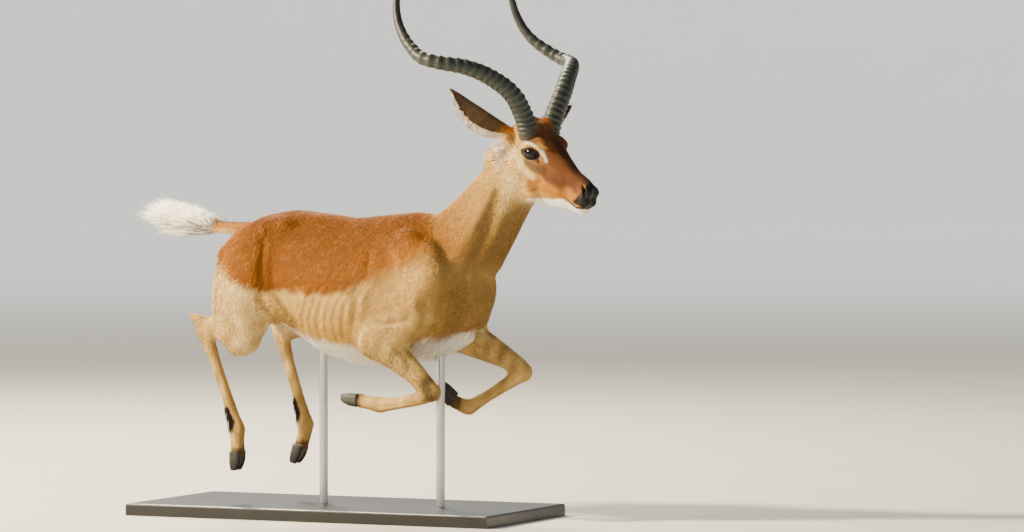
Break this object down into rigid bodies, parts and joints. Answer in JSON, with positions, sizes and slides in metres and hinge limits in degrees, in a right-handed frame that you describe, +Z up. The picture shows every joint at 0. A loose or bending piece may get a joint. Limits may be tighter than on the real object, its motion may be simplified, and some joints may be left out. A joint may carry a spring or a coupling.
{
  "type": "life-size impala antelope model",
  "caption": "Life-size still model of a male impala in mid leap, legs folded under it, held over a flat base by slim steel rods.",
  "frame": {"origin": "centre of the underside of the display base", "axes": "+X forwards, the way the animal leaps; +Y to the animal's left; +Z up"},
  "size_m": [1.3152, 0.5505, 1.447],
  "materials": {
    "coat": "short rufous, fawn and white hair over the modelled body",
    "horn": "dark ringed horn, satin",
    "hoof": "black hoof horn",
    "eye": "dark polished eye",
    "stand_black": "flat black paint on board",
    "stand_steel": "brushed"
  },
  "bodies": {
    "root": {"trunk": "coat", "neck": "coat", "head": "coat", "tail": "coat", "foreleg_right_forearm": "coat", "foreleg_right_cannon": "coat", "foreleg_right_pastern": "coat", "foreleg_left_forearm": "coat", "foreleg_left_cannon": "coat", "foreleg_left_pastern": "coat", "hindleg_right_thigh": "coat", "hindleg_right_shank": "coat", "hindleg_right_cannon": "coat", "hindleg_right_pastern": "coat", "hindleg_left_shank": "coat", "hindleg_left_cannon": "coat", "hindleg_left_pastern": "coat", "horn_right": "horn", "ear_right": "coat", "horn_left": "horn", "ear_left": "coat", "eye_right": "eye", "eye_left": "eye", "foreleg_right_hoof_inner": "hoof", "foreleg_right_hoof_outer": "hoof", "foreleg_left_hoof_inner": "hoof", "foreleg_left_hoof_outer": "hoof", "hindleg_right_hoof_inner": "hoof", "hindleg_right_hoof_outer": "hoof", "hindleg_left_hoof_inner": "hoof", "hindleg_left_hoof_outer": "hoof", "stand_base": "stand_black", "stand_rod_front": "stand_steel", "stand_rod_rear": "stand_steel"}
  },
  "joints": []
}
